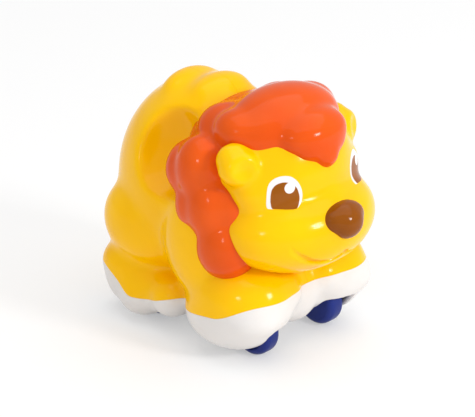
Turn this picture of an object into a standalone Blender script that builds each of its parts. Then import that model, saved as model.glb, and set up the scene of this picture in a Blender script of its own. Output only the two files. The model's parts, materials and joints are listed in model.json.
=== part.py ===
"""A wind-up lion on wheels: a moulded baby toy with a pull-back spring motor.

Sizes below are in millimetres, and MM turns them into the scene's metres. The lion faces -Y, its
left side is +X, and the origin is on the floor under the middle of the toy.
"""

import math

import bmesh
import bpy
from mathutils import Euler, Matrix, Vector
from mathutils.geometry import convex_hull_2d

MM = 0.001
GAP = 0.25
PRESS_GAP = 0.05
RUNNING_GAP = 0.12
THREAD_GAP = 0.15
WALL = 2.2
TURN_STEPS = 16

# Moulded forms. Each lump is a centre, its radii and a turn about the upright axis in degrees.
# A lump that is off the middle plane has a twin on the other side.
BODY_LUMPS = {
    "torso": ((0, 18, 53), (32, 36.5, 40.5), 0),
    "haunch": ((-18.5, 31, 38), (15.5, 20, 18), 0),
    "hind_foot": ((-19, 31, 13.5), (14, 21, 11), 0),
    "heel": ((-19, 38, 19.5), (14, 13.5, 10), 0),
    "rear_toe": ((-24.5, 29, 10), (10, 10, 8.7), 0),
    "front_toe": ((-24, 14, 13.5), (9.5, 9, 8.5), 0),
    "shoulder": ((-21, -3, 42), (16, 20, 26), 0),
    "front_leg": ((-20, -17, 22), (18, 21, 17), 0),
    "front_paw": ((-22, -16.5, 17), (16.5, 22, 14), 0),
    "chest": ((0, -8, 38), (26, 22, 26), 0),
    "apron": ((0, -14, 20), (20, 24, 15), 0),
    "belly": ((0, 10, 14), (22, 34, 11), 0),
    "rear_back_bump": ((0, 27, 87), (14, 8.5, 7.5), 0),
    "front_back_bump": ((0, 13, 87.5), (13, 8.5, 7), 0),
}
GRIP_LUMPS = {"finger_grip": ((-36, 12, 77.5), (20, 17, 20), 0)}
FACE_LUMPS = {
    "cranium": ((0, -15, 65), (30, 26.5, 27), 0),
    "eye_mound": ((-16, -26.5, 66.5), (12, 12, 12.5), 0),
    "muzzle": ((0, -24, 50), (34, 25.5, 20.5), 0),
    "snout": ((0, -33, 54), (16, 17, 13), 0),
    "ear": ((-27.5, -22.6, 76.3), (8, 6.4, 7), -30),
    "ear_top": ((-27, -19.8, 78.6), (7, 5, 6.4), -30),
}
MANE_LUMPS = {
    "cap": ((0, -10, 73), (29, 28, 20), 0),
    "crown": ((0, -18, 84.5), (25.5, 17, 14.2), 0),
    "crown_side": ((-20, -14.6, 87.5), (7, 8, 7), 0),
    "forelock": ((0, -31, 85), (16, 12, 9), 0),
    "forelock_tip": ((0, -38, 79.5), (7, 5.5, 6.3), 0),
    "back_lobe": ((-15, -2, 82), (13, 13, 10), 0),
    "temple_lobe": ((-28, -5, 71.5), (10, 10, 13), 0),
    "temple_rim": ((-25, 4, 70), (11, 9, 12), 0),
    "cheek_lobe": ((-29, -10.5, 58), (9.5, 10, 12.5), 0),
    "cheek_rim": ((-27, -3, 57), (10, 9, 11), 0),
    "whisker_lobe": ((-26, -15, 59), (8.5, 10, 11), 0),
    "collar_lobe": ((-27, -16, 44), (11, 12, 13), 0),
}
NOSE_CENTRE = (0, -48.5, 56.6)
NOSE_RADII = (10, 6.2, 7.2)
NOSE_STEM_RADIUS = 2.5
NOSE_STEM_BACK = -40
VOXEL = 1.4
FLAT_ANGLE = 1.0
SEAT_GAP = 0.45
BODY_BLEND, FACE_BLEND, MANE_BLEND, RIM_BLEND = 3.5, 4.0, 4.0, 2.0
BODY_TRIANGLES, CORE_TRIANGLES, FACE_TRIANGLES, MANE_TRIANGLES = 1300, 400, 800, 1050

# The white chassis meets the yellow shells at a wavy parting face.
PARTING_BASE, PARTING_CHEST, PARTING_PAW, PARTING_HIND_FOOT, PARTING_HEEL = 16, 3.5, 5, -4.2, 2.5
BELLY_LEVEL = 4.0
BELLY_FLAT = ((-12, -18), (12, 46))

# Wheels and axles.
AXLE_RADIUS = 1.25
AXLE_HALF_LENGTH = 20.8
FRONT_AXLE = (0, -22, 9)
REAR_AXLE = (0, 28, 9)
WHEEL_RADIUS = 9
WHEEL_WIDTH = 8
WHEEL_EDGE = 2.6
WHEEL_HALF_TRACK = 17.8
WHEEL_CLEARANCE = 1.0
PAW_NOTCH = ((9.6, -48, -6), (22.9, -22, 12.3))
HUB_RADIUS, DISH_RADIUS, DISH_DEPTH = 3.4, 6.2, 0.9
TYRE_WIDTH, TYRE_DEPTH, TYRE_STANDS_PROUD = 3.0, 0.7, 0.3

# Spring motor: gears across the width of its case, from the axle up to the spring.
GEAR_MODULE = 0.85
GEAR_BACKLASH = 0.25
MESH_SLACK = 0.12
PINION_TEETH, IDLER_TEETH, IDLER_PINION_TEETH, BARREL_TEETH = 9, 22, 9, 25
IDLER_BEARING, BARREL_BEARING = 110, 170
PINION_SPAN, IDLER_SPAN = (-6.5, -2.5), (-6.0, -3.0)
IDLER_PINION_SPAN, BARREL_SPAN = (-4.0, 2.8), (-1.0, 2.0)
ARBOR_RADIUS, ARBOR_SPAN = 2.0, (-8.0, 10.0)
PIN_RADIUS = 1.0
SPRING_SPAN, SPRING_RADIUS, SPRING_TURNS, SPRING_THICKNESS = (3.4, 8.6), 9.8, 4.5, 0.5
CASE_SPAN, CASE_SPLIT, CASE_WALL, CASE_CLEARANCE = (-8.6, 10.6), 2.6, 1.3, 0.5
LUG_PLACES = {"right": (-5.0, -8.5), "left": (6.6, -8.5)}
LUG_HALF_WIDTH, LUG_LEVEL, LUG_THICKNESS = 3.2, 11.0, 2.0
WINDOW_FRONT, WINDOW_BACK, WINDOW_TOP = 15.0, 35.2, 20.0
WINDOW_CLEARANCE = 0.5

# Fasteners.
SCREW_RADIUS, SCREW_HEAD_RADIUS, SCREW_HEAD = 1.3, 2.5, 1.8
BOSS_RADIUS = 4.2
POST_RADIUS = 3.4
KEEPER_BOSS_RADIUS = 2.8
BASE_SCREW_PLACES = ((28.0, -9.0), (25.0, 41.0))
POST_TOP = 75
BASE_SCREW_SEAT, BASE_SCREW_LENGTH = 10.0, 20.0
HEAD_SCREW_PLACES = ((-10, 62), (10, 62))
HEAD_SCREW_SEAT, HEAD_SCREW_LENGTH = -11.0, 16.0
FACE_BOSS_SPAN = (-48.0, -10.0)
KEEPER_SCREW_PLACES = ((-4.5, -16.2), (4.5, -16.2))
MOTOR_SCREW_LENGTH, KEEPER_SCREW_LENGTH = 5.5, 6.5
KEEPER_SIZE, KEEPER_LEVEL, KEEPER_FRONT = (20, 15.5, 2.0), 13.3, -27.0
CRADLE_EDGES = {"front": (6.8, 9.2), "rear": (11.3, 12.6)}
CRADLE_HALF_DEPTH = 4.5

FAR = 140


def colour_material(name, colour, roughness, metallic=0.0):
    material = bpy.data.materials.new(name)
    material.use_nodes = True
    shader = material.node_tree.nodes["Principled BSDF"]
    shader.inputs["Base Color"].default_value = (*colour, 1)
    shader.inputs["Roughness"].default_value = roughness
    shader.inputs["Metallic"].default_value = metallic
    return material


def new_object(name, mesh, collection):
    piece = bpy.data.objects.new(name, mesh)
    collection.objects.link(piece)
    return piece


def helper(name, mesh):
    """A form or cutter that shapes other pieces and isn't a piece itself."""
    piece = new_object(name, mesh, cutters)
    piece.hide_render = True
    piece.display_type = "WIRE"
    return piece


def part(name, mesh, material):
    piece = new_object(name, mesh, lion)
    piece.data.materials.clear()
    piece.data.materials.append(material)
    return piece


def bake(piece):
    """Replaces a piece's modifiers by the mesh that they give."""
    graph = bpy.context.evaluated_depsgraph_get()
    mesh = bpy.data.meshes.new_from_object(piece.evaluated_get(graph))
    mesh.name = piece.name
    piece.modifiers.clear()
    piece.data = mesh
    return piece


def mesh_from(name, form):
    mesh = bpy.data.meshes.new(name)
    form.to_mesh(mesh)
    form.free()
    return mesh


def tidy_flats(piece):
    """Joins the small facets that cuts leave on nearly flat stretches."""
    flat = piece.modifiers.new("flats", "DECIMATE")
    flat.decimate_type = "DISSOLVE"
    flat.angle_limit = math.radians(FLAT_ANGLE)
    even = piece.modifiers.new("even", "TRIANGULATE")
    even.quad_method = "SHORTEST_DIAGONAL"
    return bake(piece)


def boolean(piece, operation, other):
    modifier = piece.modifiers.new(other.name, "BOOLEAN")
    modifier.operation = operation
    modifier.solver = "EXACT"
    modifier.object = other


def shade(piece, degrees=35):
    piece.data.shade_smooth()
    piece.data.set_sharp_from_angle(angle=math.radians(degrees))


def box(name, low, high):
    form = bmesh.new()
    middle = [(a + b) / 2 * MM for a, b in zip(low, high)]
    size = [(b - a) * MM for a, b in zip(low, high)]
    place = Matrix.Translation(middle) @ Matrix.Diagonal((*size, 1))
    bmesh.ops.create_cube(form, size=1, matrix=place)
    return mesh_from(name, form)


def add_rod(form, start, end, radius, sides=TURN_STEPS):
    """Adds a closed round rod between two points to a bmesh."""
    start, end = Vector(start) * MM, Vector(end) * MM
    turn = (end - start).to_track_quat("Z", "Y").to_matrix().to_4x4()
    place = Matrix.Translation((start + end) / 2) @ turn
    bmesh.ops.create_cone(form, cap_ends=True, segments=sides, radius1=radius * MM,
                          radius2=radius * MM, depth=(end - start).length, matrix=place)


def rods(name, ends, radius, sides=TURN_STEPS):
    form = bmesh.new()
    for start, end in ends:
        add_rod(form, start, end, radius, sides)
    return mesh_from(name, form)


def ellipsoids(name, lumps, grow, rings=20):
    """The lumps and their twins as overlapping spheres, each radius longer by grow."""
    form = bmesh.new()
    for centre, radii, turn in lumps.values():
        for side in (1, -1) if centre[0] else (1,):
            place = Matrix.Translation((side * centre[0] * MM, centre[1] * MM, centre[2] * MM))
            place @= Euler((0, 0, side * math.radians(turn))).to_matrix().to_4x4()
            place @= Matrix.Diagonal([(radius + grow) * MM for radius in radii] + [1])
            bmesh.ops.create_uvsphere(form, u_segments=2 * rings, v_segments=rings, radius=1, matrix=place)
    return mesh_from(name, form)


def soften(form, blend):
    """Remeshes a form evenly and rounds its creases over about the root of blend."""
    remesh = form.modifiers.new("skin", "REMESH")
    remesh.mode = "VOXEL"
    remesh.voxel_size = VOXEL * MM
    smooth = form.modifiers.new("soften", "SMOOTH")
    smooth.factor = 0.5
    smooth.iterations = max(1, round(8 * blend / VOXEL ** 2))


def sculpt(name, lumps, blend, triangles, grow=0.0, carve=None):
    """One closed form of about the given number of triangles, with no facet inside its mirror plane."""
    form = helper(name, ellipsoids(name, lumps, grow))
    soften(form, blend)
    if carve:
        boolean(form, "DIFFERENCE", helper(name + "_carve", ellipsoids(name, carve, -grow)))
        soften(form, RIM_BLEND)
    bake(form)
    thin = form.modifiers.new("thin", "DECIMATE")
    thin.ratio = triangles / (2 * len(form.data.polygons))
    mirror = form.modifiers.new("mirror", "MIRROR")
    mirror.use_bisect_axis[0] = True
    mirror.merge_threshold = 0.00001
    bake(form)
    skin = bmesh.new()
    skin.from_mesh(form.data)
    inner = [face for face in skin.faces if all(abs(vertex.co.x) < 0.000001 for vertex in face.verts)]
    bmesh.ops.delete(skin, geom=inner, context="FACES_ONLY")
    skin.to_mesh(form.data)
    skin.free()
    return form


def offset_form(form, name, distance):
    """A form with its skin moved out, to cut room for it in a neighbour, or moved in."""
    room = helper(name, form.data.copy())
    push = room.modifiers.new("push", "DISPLACE")
    push.strength = distance * MM
    push.mid_level = 0
    return bake(room)


def smooth_step(share):
    share = min(1.0, max(0.0, share))
    return share * share * (3 - 2 * share)


def parting_height(y):
    rise = PARTING_CHEST * smooth_step((5 - y) / 25)
    rise += PARTING_PAW * smooth_step((-18 - y) / 18)
    rise += PARTING_HIND_FOOT * smooth_step((y - 6) / 18)
    return PARTING_BASE + rise + PARTING_HEEL * smooth_step((y - 38) / 17)


def parting_block(name, x_low, x_high, offset, far_level):
    """Everything above or below the parting face, which is moved by offset, within two planes of x."""
    block = bmesh.new()
    place = Matrix.Translation(((x_low + x_high) / 2 * MM, 0, 0))
    place @= Matrix.Diagonal(((x_high - x_low) * MM, FAR * MM, 1, 1))
    bmesh.ops.create_grid(block, x_segments=2, y_segments=32, size=0.5, matrix=place)
    for vertex in block.verts:
        vertex.co.z = (parting_height(vertex.co.y / MM) + offset) * MM
    moved = bmesh.ops.extrude_face_region(block, geom=block.faces[:])["geom"]
    for vertex in (item for item in moved if isinstance(item, bmesh.types.BMVert)):
        vertex.co.z = far_level * MM
    bmesh.ops.recalc_face_normals(block, faces=block.faces[:])
    return helper(name, mesh_from(name, block))


def turned(name, profile, closed, steps=TURN_STEPS):
    """A profile of radius and height points, turned about Z, that runs down its outer side."""
    form = bmesh.new()
    points = [form.verts.new((radius * MM, 0, height * MM)) for radius, height in profile]
    for start, end in zip(points, points[1:] + points[:1] if closed else points[1:]):
        form.edges.new((start, end))
    piece = helper(name + "_profile", mesh_from(name, form))
    screw = piece.modifiers.new("turn", "SCREW")
    screw.steps = steps
    screw.render_steps = steps
    screw.use_merge_vertices = True
    screw.merge_threshold = 0.00001
    mesh = bake(piece).data
    bpy.data.objects.remove(piece)
    return mesh


def arc(centre, radius, start, end, count):
    """Points of a profile along an arc, its angles in degrees from the outward direction."""
    angles = [math.radians(start + (end - start) * step / count) for step in range(count + 1)]
    return [(centre[0] + radius * math.cos(a), centre[1] + radius * math.sin(a)) for a in angles]


def flat_outline(name, loops, span):
    """Closed outlines, an inner one being a hole, as a plate between two heights of span."""
    curve = bpy.data.curves.new(name, "CURVE")
    curve.dimensions = "2D"
    curve.fill_mode = "BOTH"
    curve.extrude = (span[1] - span[0]) / 2 * MM
    for loop in loops:
        spline = curve.splines.new("POLY")
        spline.points.add(len(loop) - 1)
        spline.use_cyclic_u = True
        for point, (x, y) in zip(spline.points, loop):
            point.co = (x * MM, y * MM, 0, 1)
    piece = helper(name + "_outline", curve)
    graph = bpy.context.evaluated_depsgraph_get()
    mesh = bpy.data.meshes.new_from_object(piece.evaluated_get(graph))
    bpy.data.objects.remove(piece)
    form = bmesh.new()
    form.from_mesh(mesh)
    bmesh.ops.remove_doubles(form, verts=form.verts[:], dist=0.000001)
    bmesh.ops.translate(form, verts=form.verts[:], vec=(0, 0, (span[0] + span[1]) / 2 * MM))
    bmesh.ops.recalc_face_normals(form, faces=form.faces[:])
    form.to_mesh(mesh)
    form.free()
    return mesh


def circle_points(centre, radius, count=TURN_STEPS):
    angles = [2 * math.pi * step / count for step in range(count)]
    return [(centre[0] + radius * math.cos(a), centre[1] + radius * math.sin(a)) for a in angles]


def pitch_radius(teeth):
    return GEAR_MODULE * teeth / 2


def gear_points(teeth):
    """The outline of an involute gear, with a tooth on the first axis."""
    pitch = pitch_radius(teeth)
    base = pitch * math.cos(math.radians(20))
    tip, root = pitch + 0.95 * GEAR_MODULE, pitch - 1.2 * GEAR_MODULE

    def involute(radius):
        return math.sqrt((radius / base) ** 2 - 1) - math.acos(base / radius)

    half = math.pi / (2 * teeth) - GEAR_BACKLASH / (4 * pitch)
    flank = [(radius, half + involute(pitch) - involute(max(base, radius))) for radius in (root, pitch, tip)]
    tooth = [(radius, -angle) for radius, angle in flank] + flank[::-1]
    points = []
    for index in range(teeth):
        middle = 2 * math.pi * index / teeth
        points += [(r * math.cos(middle + a), r * math.sin(middle + a)) for r, a in tooth]
    return points


def across(piece, place, direction):
    """Lays a piece made about Z along X at a place, its first axis towards a direction in the YZ plane."""
    piece.location = Vector(place) * MM
    piece.rotation_euler = Matrix.Rotation(math.radians(90), 3, "Y").to_euler()
    spin = Matrix.Rotation(math.radians(direction + 90), 4, "Z")
    piece.data.transform(spin)
    return piece


def polar(centre, distance, bearing):
    angle = math.radians(bearing)
    return (0, centre[1] + distance * math.cos(angle), centre[2] + distance * math.sin(angle))


def repeated(name, mesh, places, material):
    """Copies of one small piece that share its mesh, numbered from 1."""
    mesh.shade_smooth()
    mesh.set_sharp_from_angle(angle=math.radians(35))
    for number, place in enumerate(places, 1):
        piece = part(f"{name}_{number}", mesh, material)
        piece.matrix_world = place


def screw_mesh(length):
    """A screw that points up, with the underside of its head at the origin."""
    profile = [(0, length), (SCREW_RADIUS * 0.5, length), (SCREW_RADIUS, length - 1.5), (SCREW_RADIUS, 0),
               (SCREW_HEAD_RADIUS, 0), (SCREW_HEAD_RADIUS, -SCREW_HEAD * 0.6),
               (SCREW_HEAD_RADIUS * 0.7, -SCREW_HEAD), (0, -SCREW_HEAD)]
    return turned("screw", profile, False, 8)


def upright(x, y, z):
    return Matrix.Translation((x * MM, y * MM, z * MM))


def downward(x, y, z):
    return upright(x, y, z) @ Matrix.Rotation(math.pi, 4, "X")


def forward(x, y, z):
    return upright(x, y, z) @ Matrix.Rotation(math.radians(90), 4, "X")


def build_shells():
    """The two yellow body halves, welded along the middle plane, with posts for the base screws."""
    shell = part("body_shell_right", body_form.data.copy(), yellow)
    boolean(shell, "DIFFERENCE", body_core)
    posts = bmesh.new()
    for x, y in BASE_SCREW_PLACES:
        add_rod(posts, (-x, y, parting_height(y) - 3), (-x, y, POST_TOP), POST_RADIUS, 10)
    x, z = HEAD_SCREW_PLACES[0]
    add_rod(posts, (x, HEAD_SCREW_SEAT - 10, z), (x, HEAD_SCREW_SEAT, z), POST_RADIUS, 10)
    posts = helper("shell_posts", mesh_from("shell_posts", posts))
    boolean(posts, "INTERSECT", body_middle)
    boolean(shell, "UNION", posts)
    boolean(shell, "INTERSECT", parting_block("above_parting", -FAR, -GAP / 2, GAP / 2, FAR))
    holes = bmesh.new()
    for x_post, y in BASE_SCREW_PLACES:
        top = BASE_SCREW_SEAT + BASE_SCREW_LENGTH + 1
        add_rod(holes, (-x_post, y, 0), (-x_post, y, top), SCREW_RADIUS + THREAD_GAP, 8)
    add_rod(holes, (x, -30, z), (x, 0, z), SCREW_RADIUS + GAP, 8)
    boolean(shell, "DIFFERENCE", helper("shell_holes", mesh_from("shell_holes", holes)))
    shade(tidy_flats(shell))
    other = part("body_shell_left", shell.data, yellow)
    other.scale.x = -1


def build_face():
    """The face with its ears, a mask that is open at the back, and its two screw bosses."""
    face = part("face_shell", face_form.data.copy(), yellow)
    boolean(face, "DIFFERENCE", face_core)
    bosses = [((x, FACE_BOSS_SPAN[0], z), (x, FACE_BOSS_SPAN[1], z)) for x, z in HEAD_SCREW_PLACES]
    bosses = helper("face_bosses", rods("face_bosses", bosses, POST_RADIUS, 10))
    boolean(bosses, "INTERSECT", face_middle)
    boolean(face, "UNION", bosses)
    boolean(face, "DIFFERENCE", body_room)
    holes = bmesh.new()
    for x, z in HEAD_SCREW_PLACES:
        tip = HEAD_SCREW_SEAT - HEAD_SCREW_LENGTH - 1
        add_rod(holes, (x, tip, z), (x, 0, z), SCREW_RADIUS + THREAD_GAP, 8)
    x, y, z = NOSE_CENTRE
    add_rod(holes, (x, y, z), (x, NOSE_STEM_BACK + 1, z), NOSE_STEM_RADIUS + PRESS_GAP)
    boolean(face, "DIFFERENCE", helper("face_holes", mesh_from("face_holes", holes)))
    boolean(face, "DIFFERENCE", nose_room)
    shade(tidy_flats(face))


def build_mane():
    """The orange mane, a lobed cap that is held between the face and the body."""
    mane = part("mane", mane_form.data.copy(), orange)
    boolean(mane, "DIFFERENCE", face_room)
    boolean(mane, "DIFFERENCE", body_room)
    shade(tidy_flats(mane))


def nose_ellipsoid(name, grow):
    lumps = {"nose": (NOSE_CENTRE, NOSE_RADII, 0)}
    return ellipsoids(name, lumps, grow, 9)


def build_nose():
    """The brown nose, a rounded plug with a stem through the snout."""
    nose = part("nose", nose_ellipsoid("nose", 0), brown)
    x, y, z = NOSE_CENTRE
    stem = rods("nose_stem", [((x, y, z), (x, NOSE_STEM_BACK + 1.5, z))], NOSE_STEM_RADIUS)
    boolean(nose, "UNION", helper("nose_stem", stem))
    shade(bake(nose))


def wheel_slots():
    slots = bmesh.new()
    half = WHEEL_WIDTH / 2 + WHEEL_CLEARANCE
    for _, y, z in (FRONT_AXLE, REAR_AXLE):
        for x in (-WHEEL_HALF_TRACK, WHEEL_HALF_TRACK):
            add_rod(slots, (x - half, y, z), (x + half, y, z), WHEEL_RADIUS + WHEEL_CLEARANCE, 20)
    return helper("wheel_slots", mesh_from("wheel_slots", slots))


def build_chassis():
    """The white pan under the body: paws, wheel slots and notches, axle cradles, a motor window and bosses."""
    chassis = part("chassis", body_form.data.copy(), white)
    boolean(chassis, "DIFFERENCE", body_core)
    bosses = bmesh.new()
    for x, y in BASE_SCREW_PLACES:
        for side in (-x, x):
            add_rod(bosses, (side, y, 0), (side, y, parting_height(y) + 3), BOSS_RADIUS, 10)
    for x, y in LUG_PLACES.values():
        add_rod(bosses, (x, y, 0), (x, y, LUG_LEVEL - PRESS_GAP), POST_RADIUS, 10)
    for x, y in KEEPER_SCREW_PLACES:
        add_rod(bosses, (x, y, 0), (x, y, KEEPER_LEVEL - PRESS_GAP), KEEPER_BOSS_RADIUS, 10)
    bosses = helper("chassis_bosses", mesh_from("chassis_bosses", bosses))
    boolean(bosses, "INTERSECT", body_middle)
    boolean(chassis, "UNION", bosses)
    boolean(chassis, "INTERSECT", parting_block("below_parting", -FAR, FAR, -GAP / 2, -FAR))
    for end, (_, y, _) in (("front", FRONT_AXLE), ("rear", REAR_AXLE)):
        for side in (-1, 1):
            low, high = sorted(side * edge for edge in CRADLE_EDGES[end])
            cradle = box("cradle", (low, y - CRADLE_HALF_DEPTH, 0),
                         (high, y + CRADLE_HALF_DEPTH, KEEPER_LEVEL - PRESS_GAP))
            cradle = helper(f"{end}_cradle_{side}", cradle)
            boolean(cradle, "INTERSECT", body_middle)
            boolean(chassis, "UNION", cradle)
    boolean(chassis, "DIFFERENCE", wheel_slots())
    (inner, front, bottom), (outer, back, top) = PAW_NOTCH
    for side in (-1, 1):
        low, high = sorted((side * inner, side * outer))
        notch = box("paw_notch", (low, front, bottom), (high, back, top))
        boolean(chassis, "DIFFERENCE", helper(f"paw_notch_{side}", notch))
    cuts = bmesh.new()
    for _, y, z in (FRONT_AXLE, REAR_AXLE):
        add_rod(cuts, (-FAR / 8, y, z), (FAR / 8, y, z), AXLE_RADIUS + RUNNING_GAP)
    for x, y in BASE_SCREW_PLACES:
        for side in (-x, x):
            add_rod(cuts, (side, y, -1), (side, y, BASE_SCREW_SEAT), SCREW_HEAD_RADIUS + GAP, 10)
    boolean(chassis, "DIFFERENCE", helper("chassis_cuts", mesh_from("chassis_cuts", cuts)))
    holes = [((x, y, LUG_LEVEL - 4), (x, y, FAR / 4)) for x, y in LUG_PLACES.values()]
    holes += [((side * x, y, BASE_SCREW_SEAT - 1), (side * x, y, FAR / 4))
              for x, y in BASE_SCREW_PLACES for side in (-1, 1)]
    holes += [((x, y, KEEPER_LEVEL - 5), (x, y, FAR / 4)) for x, y in KEEPER_SCREW_PLACES]
    pilots = helper("pilot_holes", rods("pilot_holes", holes, SCREW_RADIUS + THREAD_GAP, 8))
    boolean(chassis, "DIFFERENCE", pilots)
    half = AXLE_RADIUS + RUNNING_GAP
    for index, (_, y, z) in enumerate((FRONT_AXLE, REAR_AXLE)):
        slot = box("axle_slot", (-FAR / 8, y - half, z), (FAR / 8, y + half, FAR / 8))
        boolean(chassis, "DIFFERENCE", helper(f"axle_slot_{index}", slot))
    belly = helper("belly_cut", box("belly_cut", (*BELLY_FLAT[0], -FAR), (*BELLY_FLAT[1], BELLY_LEVEL)))
    boolean(chassis, "DIFFERENCE", belly)
    low = (CASE_SPAN[0] - WINDOW_CLEARANCE, WINDOW_FRONT, 0)
    high = (CASE_SPAN[1] + WINDOW_CLEARANCE, WINDOW_BACK, WINDOW_TOP)
    boolean(chassis, "DIFFERENCE", helper("motor_window", box("motor_window", low, high)))
    shade(tidy_flats(chassis))


def wheel_profile(radius, groove):
    """Half of a wheel's section: hub, dished face, rounded rim and, on a drive wheel, a tyre groove."""
    half = WHEEL_WIDTH / 2
    bore = AXLE_RADIUS + PRESS_GAP
    shoulder = (radius - WHEEL_EDGE, half - WHEEL_EDGE)
    points = [(bore, half), (HUB_RADIUS, half), (HUB_RADIUS + 0.5, half - DISH_DEPTH)]
    points += [(DISH_RADIUS, half - DISH_DEPTH)]
    points += arc(shoulder, WHEEL_EDGE, 90, 0, 3)
    if groove:
        width = TYRE_WIDTH / 2 + PRESS_GAP
        points += [(radius, width), (radius - TYRE_DEPTH, width)]
        points += [(radius - TYRE_DEPTH, -width), (radius, -width)]
    points += arc((shoulder[0], -shoulder[1]), WHEEL_EDGE, 0, -90, 3)
    points += [(bore, -half)]
    return points


def build_wheels():
    """Two axles with a wheel on each end, and a rubber tyre on each of the driven rear wheels."""
    rear_radius = WHEEL_RADIUS - TYRE_STANDS_PROUD
    tyre_outer, tyre_inner = WHEEL_RADIUS, rear_radius - TYRE_DEPTH + PRESS_GAP
    half = TYRE_WIDTH / 2
    tyre = turned("tyre", [(tyre_inner, half), (tyre_outer - 0.3, half), (tyre_outer, half - 0.6),
                           (tyre_outer, 0.6 - half), (tyre_outer - 0.3, -half), (tyre_inner, -half)], True)
    meshes = {"front": turned("front_wheel", wheel_profile(WHEEL_RADIUS, False), True),
              "rear": turned("rear_wheel", wheel_profile(rear_radius, True), True)}
    for end, axle in (("front", FRONT_AXLE), ("rear", REAR_AXLE)):
        for side, x in (("right", -WHEEL_HALF_TRACK), ("left", WHEEL_HALF_TRACK)):
            place = (x, axle[1], axle[2])
            facing = Matrix.Rotation(math.pi if x < 0 else 0, 4, "X")
            mesh = meshes[end].copy()
            mesh.transform(facing)
            wheel = across(part(f"{end}_wheel_{side}", mesh, blue), place, 0)
            shade(wheel)
            if end == "rear":
                shade(across(part(f"rear_tyre_{side}", tyre.copy(), rubber), place, 0))
        rod = turned("axle", [(0, AXLE_HALF_LENGTH), (AXLE_RADIUS - 0.3, AXLE_HALF_LENGTH),
                              (AXLE_RADIUS, AXLE_HALF_LENGTH - 0.5), (AXLE_RADIUS, 0.5 - AXLE_HALF_LENGTH),
                              (AXLE_RADIUS - 0.3, -AXLE_HALF_LENGTH), (0, -AXLE_HALF_LENGTH)], False)
        shade(across(part(f"{end}_axle", rod, steel), axle, 0))


def build_keeper():
    """The strap that is screwed down over the front axle in its cradles."""
    width, depth, thickness = KEEPER_SIZE
    low = (-width / 2, KEEPER_FRONT, KEEPER_LEVEL)
    keeper = part("front_axle_keeper", box("keeper", low, (width / 2, KEEPER_FRONT + depth,
                                                           KEEPER_LEVEL + thickness)), white)
    _, y, z = FRONT_AXLE
    middle = sum(CRADLE_EDGES["front"]) / 2
    for index, x in enumerate((-middle, middle)):
        low = (x - 0.8, y - AXLE_RADIUS, z + AXLE_RADIUS + RUNNING_GAP)
        finger = box("keeper_finger", low, (x + 0.8, y + AXLE_RADIUS, KEEPER_LEVEL + 1))
        boolean(keeper, "UNION", helper(f"keeper_finger_{index}", finger))
    holes = [((x, y, KEEPER_LEVEL - 1), (x, y, KEEPER_LEVEL + 6)) for x, y in KEEPER_SCREW_PLACES]
    boolean(keeper, "DIFFERENCE", helper("keeper_holes", rods("keeper_holes", holes, SCREW_RADIUS + GAP, 8)))
    bake(keeper)


def case_outline(inset):
    """The motor case's outline about its three shafts, as Y and Z."""
    tips = ((REAR_AXLE, PINION_TEETH), (idler_axis, IDLER_TEETH), (barrel_axis, BARREL_TEETH))
    points = []
    for centre, teeth in tips:
        radius = pitch_radius(teeth) + GEAR_MODULE + CASE_CLEARANCE + CASE_WALL - inset
        points += circle_points(centre[1:], radius)
    return [points[index] for index in convex_hull_2d([Vector(point) for point in points])]


def case_block(name, inset, span):
    """A block of the case's outline, between two places across the toy."""
    mesh = flat_outline(name, [case_outline(inset)], span)
    mesh.transform(Matrix(((0, 0, 1, 0), (1, 0, 0, 0), (0, 1, 0, 0), (0, 0, 0, 1))))
    return mesh


def build_case():
    """The two cups of the motor case, each with a lug that holds it to the chassis."""
    low, high = CASE_SPAN
    cavity = helper("case_cavity", case_block("case_cavity", CASE_WALL, (low + CASE_WALL, high - CASE_WALL)))
    bores = bmesh.new()
    shafts = ((REAR_AXLE, AXLE_RADIUS + RUNNING_GAP), (idler_axis, PIN_RADIUS + PRESS_GAP),
              (barrel_axis, ARBOR_RADIUS + RUNNING_GAP))
    for axis, radius in shafts:
        add_rod(bores, (-FAR / 8, *axis[1:]), (FAR / 8, *axis[1:]), radius)
    bores = helper("case_bores", mesh_from("case_bores", bores))
    halves = {"right": (low, CASE_SPLIT - GAP / 2), "left": (CASE_SPLIT + GAP / 2, high)}
    for side, span in halves.items():
        half = part(f"motor_case_{side}", case_block("case", 0, span), grey)
        x, y = LUG_PLACES[side]
        lug = box("lug", (x - LUG_HALF_WIDTH, y - LUG_HALF_WIDTH, LUG_LEVEL),
                  (x + LUG_HALF_WIDTH, barrel_axis[1], LUG_LEVEL + LUG_THICKNESS))
        boolean(half, "UNION", helper(f"lug_{side}", lug))
        hole = rods("lug_hole", [((x, y, LUG_LEVEL - 1), (x, y, FAR / 4))], SCREW_RADIUS + GAP, 8)
        boolean(half, "DIFFERENCE", helper(f"lug_hole_{side}", hole))
        boolean(half, "DIFFERENCE", cavity)
        boolean(half, "DIFFERENCE", bores)
        shade(bake(half))


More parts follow.
